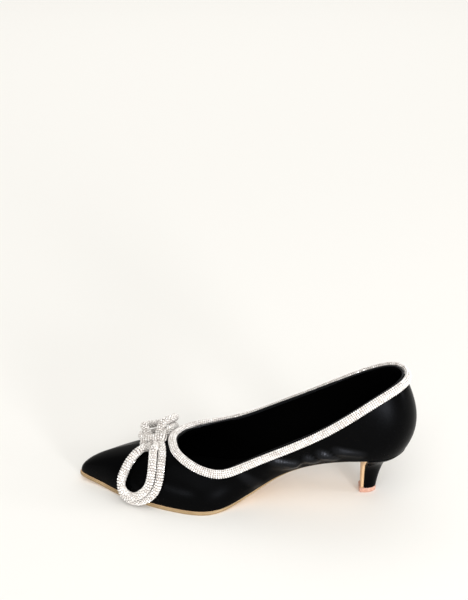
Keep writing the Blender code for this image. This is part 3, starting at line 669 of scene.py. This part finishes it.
# Levels of the tip, and how far each is grown beyond the stem and the flap, in mm.
levels = ((0.0, -0.5), (0.35, -0.1), (0.9, 0.15), (TIP_THICKNESS - 0.5, 0.2), (TIP_THICKNESS, 0.0))
grown = unit(ring - middle)
rings = np.array([np.column_stack([ring + grown * more, np.full(len(ring), z)]) for z, more in levels])
tip = skin("heel_tip", rings, tip_plastic, wrap=(False, True), caps=True)
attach(tip, "root")
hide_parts("top_piece")


# Topline piping
# A soft cord in a net sleeve set all over with small foiled glass stones, sewn on under the topline.
# It is pressed to a flat oval, its stones sit in rows along it, and the grey net shows between them.
TUBE_RADIUS = 3.1
CORE_RADIUS = 2.42
STONE_PITCH = 2.05
STONE_SIDES = 8
STONE_TILT = 0.10
# Girdle and table of a stone: radius and height off the net as shares of its size.
STONE_RINGS = ((0.45, -0.04), (0.27, 0.25))
PIPING_DROP = 3.1
PIPING_WIDTH = 6.2
PIPING_THICKNESS = 3.8
PIPING_STONE = 1.75
# Cut glass with a silver foil back: bright mirror facets, some a little greyer or pinker than the rest.
crystal, tree, shader = new_material("foiled_cut_glass", Metallic=0.3, Roughness=0.14, IOR=1.55)
island = add_node(tree, "ShaderNodeNewGeometry")
tone = add_node(tree, "ShaderNodeValToRGB", {"Fac": island.outputs["Random Per Island"]})
tone.color_ramp.elements[0].color = hex_colour("#D8D2CE")
tone.color_ramp.elements[1].color = hex_colour("#FFFDFB")
tone.color_ramp.elements.new(0.4).color = hex_colour("#EEEAE7")
tree.links.new(tone.outputs["Color"], shader.inputs["Base Color"])
# Nylon net: dull silver grey with its mesh pressed in, about 0.5 mm wide. Its grey is deepened as painted
# shade in the gaps between the stones.
NET_MESH = 0.5
net, tree, shader = new_material("nylon_net_with_painted_shade", Roughness=0.5, Specular_IOR_Level=0.5)
place = add_node(tree, "ShaderNodeTexCoord")
holes = add_node(tree, "ShaderNodeTexVoronoi", {"Vector": place.outputs["Object"],
                 "Scale": 1 / (NET_MESH * MM)})
# Painted shade: the darker grey stands in for shade between the stones.
tone = add_node(tree, "ShaderNodeValToRGB", {"Fac": holes.outputs["Distance"]})
tone.color_ramp.elements[0].color = hex_colour("#6E6864")
tone.color_ramp.elements[1].color = hex_colour("#948C87")
relief = add_node(tree, "ShaderNodeBump", {"Height": holes.outputs["Distance"], "Strength": 0.4,
                  "Distance": 0.1 * MM})
tree.links.new(tone.outputs["Color"], shader.inputs["Base Color"])
tree.links.new(relief.outputs["Normal"], shader.inputs["Normal"])


def run_of(points):
    """Distance along a line of points, from its first."""
    return np.concatenate([[0.0], np.cumsum(np.linalg.norm(np.diff(points, axis=0), axis=1))])


def at_runs(run, values, at):
    """Values along a line, read at the given distances."""
    return np.stack([np.interp(at, run, values[:, c]) for c in range(values.shape[1])], 1)


def stone_mesh(name, seats, out, side, sizes, seed):
    """All the stones of one tube as one mesh: a flat back, a slanted crown and a table on each."""
    draw = np.random.default_rng(seed)
    turn = np.linspace(0, 2 * math.pi, STONE_SIDES, endpoint=False)
    rings = []
    count = len(seats)
    spin = draw.uniform(0, 2 * math.pi, count)[:, None] + turn
    tilt = draw.normal(0, STONE_TILT, (count, 2))
    ahead = np.cross(out, side)
    out = unit(out + tilt[:, :1] * side + tilt[:, 1:] * ahead)
    side = unit(side - out * np.sum(out * side, 1)[:, None])
    ahead = np.cross(out, side)
    for radius, height in STONE_RINGS:
        flat = np.cos(spin)[..., None] * side[:, None] + np.sin(spin)[..., None] * ahead[:, None]
        rings.append(seats[:, None] + (flat * radius + out[:, None] * height) * sizes[:, None, None])
    points = np.concatenate(rings, 1).reshape(-1, 3)
    k = np.arange(STONE_SIDES)
    crown = np.stack([k, (k + 1) % STONE_SIDES, STONE_SIDES + (k + 1) % STONE_SIDES, STONE_SIDES + k], 1)
    first = (np.arange(count) * 2 * STONE_SIDES)[:, None, None]
    faces = (first + crown).reshape(-1, 4).tolist()
    faces += (first[:, 0] + STONE_SIDES + k).tolist() + (first[:, 0] + k[::-1]).tolist()
    mesh = bpy.data.meshes.new(name)
    mesh.from_pydata(((points + TO_MIDDLE) * MM).tolist(), [], faces)
    mesh.materials.append(crystal)
    piece = bpy.data.objects.new(name, mesh)
    bpy.context.collection.objects.link(piece)
    return piece


def crystal_tube(node, centre, out, girth, half_sizes, seed, closed=False, rows_of=(8, 0.87, 0.5),
                 stone=STONE_PITCH):
    """One tube of net with its stones, along a fine centre line.

    half_sizes: the net's outwards and sideways. rows_of: stones round the tube, the step to the next ring
    as a share of a stone, and how far every other ring is turned as a share of the step round.
    """
    if closed:
        centre, out, girth = (np.concatenate([values, values[:1]]) for values in (centre, out, girth))
    ahead = np.gradient(centre, axis=0)
    if closed:
        ahead[0] = ahead[-1] = centre[1] - centre[-2]
    ahead = unit(ahead)
    out = unit(out - ahead * np.sum(out * ahead, 1)[:, None])
    side = np.cross(ahead, out)
    turn = np.linspace(0, 2 * math.pi, 17)[:-1]
    deep, wide = half_sizes
    ring = out[:, None] * (np.cos(turn) * deep)[:, None] + side[:, None] * (np.sin(turn) * wide)[:, None]
    tube = centre[:, None] + ring * girth[:, None, None]
    core = skin(node + "_net", tube[:-1] if closed else tube, net, wrap=(closed, True), caps=not closed)
    count, ring_step, stagger = rows_of
    run = run_of(centre)
    steps = np.concatenate([[0.0], np.cumsum(np.diff(run) / (girth[1:] + girth[:-1]) * 2)])
    rows = int(steps[-1] / (stone * ring_step))
    rows -= rows % 2 if closed else 0
    level = (np.arange(rows) + 0.5) * steps[-1] / rows
    read = [at_runs(steps, values, level) for values in (centre, out, side, girth[:, None])]
    fine = np.linspace(0, 2 * math.pi, 721)
    oval = run_of(np.stack([np.cos(fine) * deep, np.sin(fine) * wide], 1))
    seats, normals, sideways, sizes = [], [], [], []
    for row, (mid, row_out, row_side, row_girth) in enumerate(zip(*read)):
        share = (np.arange(count) + stagger * (row % 2)) / count
        angle = np.interp(share * oval[-1], oval, fine)[:, None]
        seats.append(mid + (row_out * np.cos(angle) * deep + row_side * np.sin(angle) * wide) * row_girth)
        normal = unit(row_out * np.cos(angle) / deep + row_side * np.sin(angle) / wide)
        normals.append(normal)
        sideways.append(np.cross(normal, np.cross(row_out, row_side)))
        sizes.append(np.full(count, stone * row_girth[0]))
    stones = stone_mesh(node + "_stones", np.concatenate(seats), np.concatenate(normals),
                        unit(np.concatenate(sideways)), np.concatenate(sizes), seed)
    for piece in (core, stones):
        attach(piece, "root")
    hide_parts(node)


grid = wall_points(10, np.linspace(0.0, 1.0, 61))[:, ::-1]
seam, lower = [], []
for column in grid:
    run = run_of(column)
    seam.append(at_runs(run, column, [PIPING_DROP])[0])
    lower.append(at_runs(run, column, [PIPING_DROP + 2.0])[0])
seam, lower = np.array(seam), np.array(lower)
piping_out = unit(np.cross(np.roll(seam, -1, 0) - np.roll(seam, 1, 0), seam - lower))
ring = seam + piping_out * (PIPING_THICKNESS / 2 + GAP)
closed_ring = np.vstack([ring, ring[:1]])
run = run_of(closed_ring)
even = np.linspace(0.0, run[-1], 420, endpoint=False)
piping_line = at_runs(run, closed_ring, even)
piping_out = at_runs(run, np.vstack([piping_out, piping_out[:1]]), even)
crystal_tube("topline_piping", piping_line, piping_out, np.ones(420),
             (PIPING_THICKNESS / 2 - 0.4, PIPING_WIDTH / 2 - 0.45), seed=3, closed=True,
             rows_of=(9, 0.9, 0.0), stone=PIPING_STONE)


# Bow
# Two loops a side of the same crystal tube, one over the other, gathered under a flat band.
# The band is of the same net and stones, and it is sewn over them to the vamp.
# Under the band a tube lies PRESSED_LIFT of its radius off the vamp and has GIRTH_AT_KNOT of its girth.
# It is held so for HELD_RUN past the band, and over RISE_RUN it comes up to its full lift and girth.
PRESSED_LIFT = 0.5
HELD_RUN = 1.2
GIRTH_AT_KNOT = 0.92
RISE_RUN = 11.0
KNOT_ALONG = 76.5
KNOT_AROUND = -1.5
KNOT_HALF_SPAN = 8.6
KNOT_RISE = 3.6
KNOT_THICKNESS = 2.8
KNOT_WIDTH = 7.4
# Each loop from the knot and back to it. along: hundredths of LENGTH; around: degrees from straight up,
# positive to the outer side; lift: mm off the upper's face.
LOOPS = {
    "bow_outer_loop_lateral": (
        (78.6, 0, 3.4),
        (79.6, 16, 3.4),
        (81.7, 31, 3.4),
        (83.7, 53, 3.4),
        (84.9, 75, 3.4),
        (83.9, 91, 4.4),
        (82.0, 95, 4.8),
        (79.5, 93, 4.8),
        (76.9, 86, 4.6),
        (74.8, 77, 3.8),
        (73.6, 65, 3.4),
        (73.2, 50, 3.4),
        (73.1, 31, 3.4),
        (73.6, 16, 3.4),
        (74.4, 0, 3.4),
    ),
    "bow_inner_loop_lateral": (
        (77.2, 0, 6.0),
        (77.9, 16, 9.2),
        (79.9, 32, 9.9),
        (82.0, 50, 10.0),
        (83.2, 65, 10.0),
        (82.7, 76, 10.0),
        (80.5, 81, 10.0),
        (77.7, 77, 9.8),
        (75.6, 68, 9.2),
        (74.9, 53, 8.6),
        (75.0, 33, 8.4),
        (75.4, 15, 8.6),
        (75.8, 0, 6.0),
    ),
    "bow_outer_loop_medial": (
        (78.6, -3, 3.4),
        (79.6, -14, 3.4),
        (80.6, -28, 3.4),
        (80.8, -43, 3.6),
        (79.7, -57, 5.4),
        (77.2, -67, 9.2),
        (74.7, -70, 10.9),
        (72.2, -67, 9.1),
        (71.0, -57, 6.5),
        (71.3, -44, 4.3),
        (72.2, -28, 3.4),
        (73.7, -14, 3.4),
        (74.4, -3, 3.4),
    ),
    "bow_inner_loop_medial": (
        (77.2, -3, 6.0),
        (77.8, -15, 9.5),
        (79.1, -28, 9.6),
        (79.9, -40, 10.0),
        (79.4, -51, 11.6),
        (77.5, -60, 13.6),
        (74.5, -63, 14.3),
        (71.9, -61, 14.1),
        (70.5, -54, 12.8),
        (70.6, -46, 11.2),
        (72.3, -36, 10.3),
        (74.1, -27, 10.0),
        (75.6, -15, 10.0),
        (75.8, -3, 6.0),
    ),
}


def open_spline(knots, values, at):
    """Open cubic curve with steady bending through values at the knots, straight at its ends."""
    step = np.diff(knots)
    slope = np.diff(values, axis=0) / step[:, None]
    system = np.eye(len(knots))
    turn = np.zeros(values.shape)
    for i in range(1, len(knots) - 1):
        system[i, i - 1:i + 2] = step[i - 1], 2 * (step[i - 1] + step[i]), step[i]
        turn[i] = 6 * (slope[i] - slope[i - 1])
    bend = np.linalg.solve(system, turn)
    k = np.clip(np.searchsorted(knots, at, side="right") - 1, 0, len(step) - 1)
    t = (at - knots[k])[:, None]
    h = step[k][:, None]
    first = slope[k] - h * (2 * bend[k] + bend[k + 1]) / 6
    return values[k] + t * first + t * t * bend[k] / 2 + t ** 3 * (bend[k + 1] - bend[k]) / (6 * h)


face_grid = wall_points(8, np.linspace(0.0, 1.0, 41))
face_index = np.arange(face_grid.shape[0] * 41).reshape(-1, 41)
face_next = np.roll(face_index, -1, 0)
face_quads = np.stack([face_index[:, :-1], face_next[:, :-1], face_next[:, 1:], face_index[:, 1:]], -1)
face_points = [Vector(point) for point in face_grid.reshape(-1, 3)]
face_tree = BVHTree.FromPolygons(face_points, face_quads.reshape(-1, 4).tolist())
foot_loop = feather_loop(0.0)


def on_face(x, around):
    """Point and normal of the upper's outer face, seen from inside the shoe in the direction around."""
    outer, inner = sides_at(foot_loop, x)
    start = Vector((x, (outer + inner) / 2, float(feather_height(x)) + 4.0))
    way = Vector((0.0, math.sin(math.radians(around)), math.cos(math.radians(around))))
    point, normal = face_tree.ray_cast(start, way)[:2]
    return np.array(point), np.array(normal if normal.dot(way) > 0 else -normal)


def loop_line(rows):
    """Centre line of one bow tube, its way out and its girth, from the knot and back to it."""
    table = np.array(rows, float)
    table[:, 0] = along_to_x(table[:, 0])
    knots = run_of(table * (1.0, 0.5, 1.0))
    fine = open_spline(knots, table, np.linspace(0.0, knots[-1], 160))
    face, normals = (np.array(part) for part in zip(*[on_face(x, around) for x, around in fine[:, :2]]))
    for _ in range(12):
        normals[1:-1] = (normals[:-2] + 2 * normals[1:-1] + normals[2:]) / 4
    normals = unit(normals)
    run = run_of(face)
    ease = np.clip((np.minimum(run, run[-1] - run) - KNOT_WIDTH / 2 - HELD_RUN) / RISE_RUN, 0.0, 1.0)
    ease = ease * ease * (3 - 2 * ease)
    pressed = PRESSED_LIFT + (1 - PRESSED_LIFT) * ease
    girth = GIRTH_AT_KNOT + (1 - GIRTH_AT_KNOT) * np.sqrt(ease)
    lift = TUBE_RADIUS * pressed + GAP + (fine[:, 2] - TUBE_RADIUS - GAP) * ease
    centre = face + normals * lift[:, None]
    run = run_of(centre)
    even = np.linspace(0.0, run[-1], 140)
    return at_runs(run, centre, even), at_runs(run, normals, even), np.interp(even, run, girth)


for seed, (node, rows) in enumerate(LOOPS.items()):
    line, line_out, girth = loop_line(rows)
    crystal_tube(node, line, line_out, girth, (CORE_RADIUS, CORE_RADIUS), seed=20 + seed)

band = []
for turn in np.linspace(0.0, math.pi, 60):
    side = math.copysign(abs(math.cos(turn)) ** 0.6, math.cos(turn))
    face, normal = on_face(float(along_to_x(KNOT_ALONG)) + KNOT_HALF_SPAN * side, KNOT_AROUND)
    band.append(face + normal * (KNOT_THICKNESS / 2 + GAP + KNOT_RISE * math.sin(turn) ** 0.6))
band = np.array(band)
band[:, 1] = band[:, 1].mean()
band = at_runs(run_of(band), band, np.linspace(0.0, run_of(band)[-1], 60))
band_out = np.cross(np.array((0.0, 1.0, 0.0)), np.gradient(band, axis=0))
crystal_tube("bow_knot", band, unit(band_out), np.ones(60),
             (KNOT_THICKNESS / 2 - 0.35, KNOT_WIDTH / 2 - 0.35), seed=31)


# Floor, light and camera
# A wide sheet of pale paper under soft high light, seen from the outer side and from above.
FLOOR_SIZE = 6.0
# Matt white paper: uncoated and dull, so it takes soft shadows and the warm light off the sole.
floor_paper = new_material(
    "matt_white_paper", Base_Color=hex_colour("#F1F0EE"), Roughness=0.9, Specular_IOR_Level=0.1,
)[0]
floor_mesh = bpy.data.meshes.new("floor")
half = FLOOR_SIZE / 2
corners = [(-half, -half, 0), (half, -half, 0), (half, half, 0), (-half, half, 0)]
floor_mesh.from_pydata(corners, [], [(0, 1, 2, 3)])
floor_mesh.materials.append(floor_paper)
floor = bpy.data.objects.new("floor", floor_mesh)
bpy.context.collection.objects.link(floor)

world = bpy.data.worlds.new("studio")
world.use_nodes = True
world.node_tree.nodes["Background"].inputs["Color"].default_value = hex_colour("#FFFDF8")
world.node_tree.nodes["Background"].inputs["Strength"].default_value = 0.60
bpy.context.scene.world = world

# A wide soft sky over the viewer's shoulder, so that the floor under the waist stays light.
sky = bpy.data.lights.new("skylight", "SUN")
sky.color = hex_colour("#FFFEFA")[:3]
sky.energy = 1.34
sky.angle = math.radians(60.0)
skylight = bpy.data.objects.new("skylight", sky)
skylight.rotation_euler = Vector((0.12, -0.75, -1.0)).to_track_quat("-Z", "Y").to_euler()
bpy.context.collection.objects.link(skylight)

# Softboxes: place, aim, width and height in metres, power in watts.
# The windows light the satin's pulls, the next one the back of the heel, and the last the floor behind.
LIGHTS = {
    "window": ((-0.80, 1.36, 0.23), (-0.02, 0.0, 0.04), 0.34, 0.20, 17.0),
    "far_window": ((0.75, 1.40, 0.25), (-0.02, 0.0, 0.04), 0.40, 0.30, 4.0),
    "heel_softbox": ((-0.95, 0.1, 0.3), (-0.1, 0.0, 0.05), 0.15, 0.4, 1.6),
    "back_softbox": ((0.0, -1.7, 1.7), (0.0, -1.3, 0.0), 2.6, 1.8, 7.0),
}
for name, (place, aim, width, height, power) in LIGHTS.items():
    box = bpy.data.lights.new(name, "AREA")
    box.shape = "RECTANGLE"
    box.size, box.size_y, box.energy = width, height, power
    lamp = bpy.data.objects.new(name, box)
    lamp.location = place
    lamp.rotation_euler = (Vector(aim) - Vector(place)).to_track_quat("-Z", "Y").to_euler()
    bpy.context.collection.objects.link(lamp)
bpy.context.scene.view_settings.view_transform = "Standard"

# The camera looks at the shoe's middle from 31.5 degrees up and 2 degrees towards the heel, then tips up
# and aside so that the shoe lies low in the frame, at pixel 248, 440 of 468 by 600.
ELEVATION = math.radians(31.5)
TURN = math.radians(2.0)
FOCAL_PIXELS = 1100.0
DISTANCE = 808.8
SHOE_MIDDLE = Vector((-2.975, 3.523, 40.0))
ASIDE_PIXELS = 248 - 468 / 2
BELOW_PIXELS = 440 - 600 / 2
lens = bpy.data.cameras.new("camera")
lens.sensor_width = 36.0
lens.lens = FOCAL_PIXELS * lens.sensor_width / 600
camera = bpy.data.objects.new("camera", lens)
facing = Euler((math.pi / 2 - ELEVATION, 0.0, math.pi + TURN)).to_matrix()
back = facing @ Vector((0.0, 0.0, 1.0))
aside = Matrix.Rotation(math.atan2(ASIDE_PIXELS, math.hypot(FOCAL_PIXELS, BELOW_PIXELS)), 3, "Y")
tipped = Matrix.Rotation(math.atan2(BELOW_PIXELS, FOCAL_PIXELS), 3, "X")
stand = (SHOE_MIDDLE + back * DISTANCE) * MM
camera.matrix_world = Matrix.LocRotScale(stand, facing @ aside @ tipped, None)
bpy.context.collection.objects.link(camera)
bpy.context.scene.camera = camera
